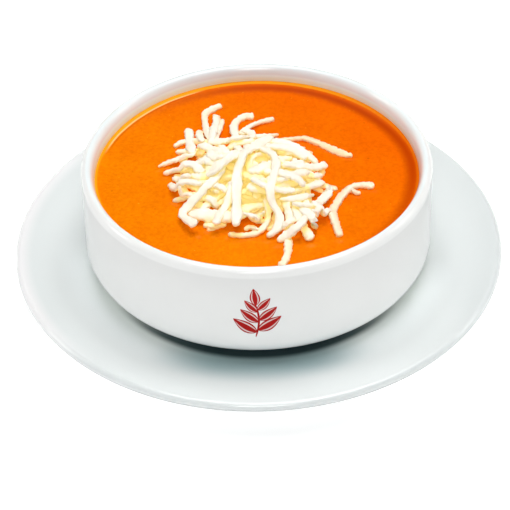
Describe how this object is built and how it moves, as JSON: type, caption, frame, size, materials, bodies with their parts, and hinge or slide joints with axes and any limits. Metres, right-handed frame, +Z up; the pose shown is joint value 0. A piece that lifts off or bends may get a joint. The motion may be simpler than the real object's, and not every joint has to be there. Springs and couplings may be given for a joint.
{
  "type": "bowl of tomato soup with grated cheese on a saucer plate",
  "caption": "Smooth tomato soup in a straight-sided porcelain bowl, topped with a heap of grated cheese, standing on a round saucer plate.",
  "frame": {"origin": "middle of the plate's foot, on the table", "axes": "+Z up out of the bowl, -Y towards the front, where the bowl's red ornament is"},
  "size_m": [0.19, 0.19, 0.0594],
  "materials": {
    "plate_porcelain": "gloss",
    "bowl_porcelain": "gloss",
    "red_ornament": "gloss",
    "soup": "gloss",
    "cheese": "satin"
  },
  "bodies": {
    "root": {"saucer_plate": "plate_porcelain", "soup_bowl": "bowl_porcelain", "tomato_soup": "soup", "grated_cheese_heap": "cheese", "loose_shred_back": "cheese", "loose_shred_right": "cheese", "loose_shred_front": "cheese"}
  },
  "joints": []
}
